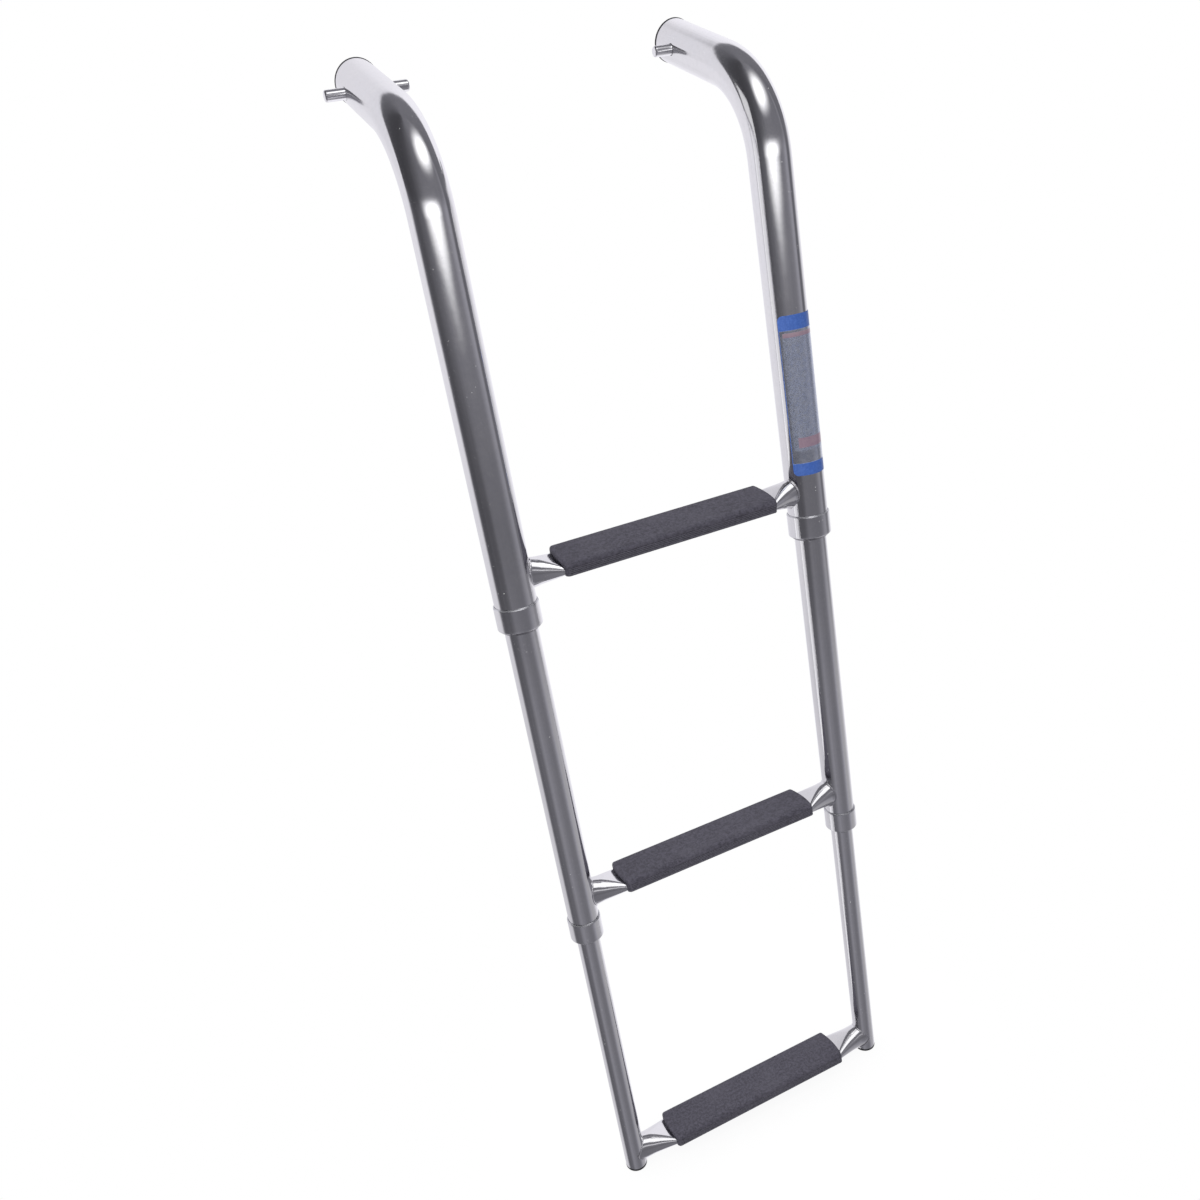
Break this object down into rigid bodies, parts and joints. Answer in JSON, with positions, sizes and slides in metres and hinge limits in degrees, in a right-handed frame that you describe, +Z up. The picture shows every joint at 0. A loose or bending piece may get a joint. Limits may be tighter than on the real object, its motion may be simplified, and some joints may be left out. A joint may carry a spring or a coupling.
{
  "type": "boat boarding ladder",
  "caption": "Telescoping stainless boat boarding ladder: bent hanging rails with cross pins, two sliding lower sections and flattened steps with grooved treads.",
  "frame": {"origin": "bottom centre of the bounding box at rest, ladder fully extended: midway between the rails, z = 0 at the underside of the foot plugs; the rail axes stand at x = -0.127 and +0.127, y = -0.054, and the common axis of the pivot pins runs along X at y = 0.0432, z = 0.9125", "axes": "+Z up along the rails, +Y towards the boat the ladder hangs on, +X to the right of a person who faces the ladder from the water"},
  "size_m": [0.314, 0.1446, 0.9366],
  "materials": {
    "polished_stainless": "mirror-polished stainless steel with faint long draw lines",
    "pin_stainless": "turned stainless steel, bright",
    "tread_rubber": "fine-grained dark charcoal with a slight violet tint, grooved along the front",
    "nylon": "plain off-white nylon, self-lubricating",
    "black_plastic": "moulded black plastic, slightly worn edge",
    "decal_film": "translucent label film with blue bands, blank"
  },
  "bodies": {
    "upper_frame": {"upper_rail_left": "polished_stainless", "upper_rail_right": "polished_stainless", "pivot_pin_left": "pin_stainless", "pivot_pin_right": "pin_stainless", "tail_plug_left": "black_plastic", "tail_plug_right": "black_plastic", "upper_collar_left": "polished_stainless", "upper_collar_right": "polished_stainless", "upper_guide_bush_left": "nylon", "upper_guide_bush_right": "nylon", "top_step_tube": "polished_stainless", "top_tread": "tread_rubber", "safety_decal": "decal_film"},
    "middle_section": {"middle_rail_left": "polished_stainless", "middle_rail_right": "polished_stainless", "middle_collar_left": "polished_stainless", "middle_collar_right": "polished_stainless", "middle_guide_bush_left": "nylon", "middle_guide_bush_right": "nylon", "middle_stop_bush_left": "nylon", "middle_stop_bush_right": "nylon", "middle_step_tube": "polished_stainless", "middle_tread": "tread_rubber"},
    "lower_section": {"lower_rail_left": "polished_stainless", "lower_rail_right": "polished_stainless", "lower_stop_bush_left": "nylon", "lower_stop_bush_right": "nylon", "bottom_step_tube": "polished_stainless", "bottom_tread": "tread_rubber", "foot_plug_left": "black_plastic", "foot_plug_right": "black_plastic"}
  },
  "joints": [
    {"name": "middle_slide", "type": "slide", "parent": "upper_frame", "child": "middle_section", "axis": [0, 0, 1], "range_m": [0, 0.226]},
    {"name": "lower_slide", "type": "slide", "parent": "middle_section", "child": "lower_section", "axis": [0, 0, 1], "range_m": [0, 0.226]}
  ]
}
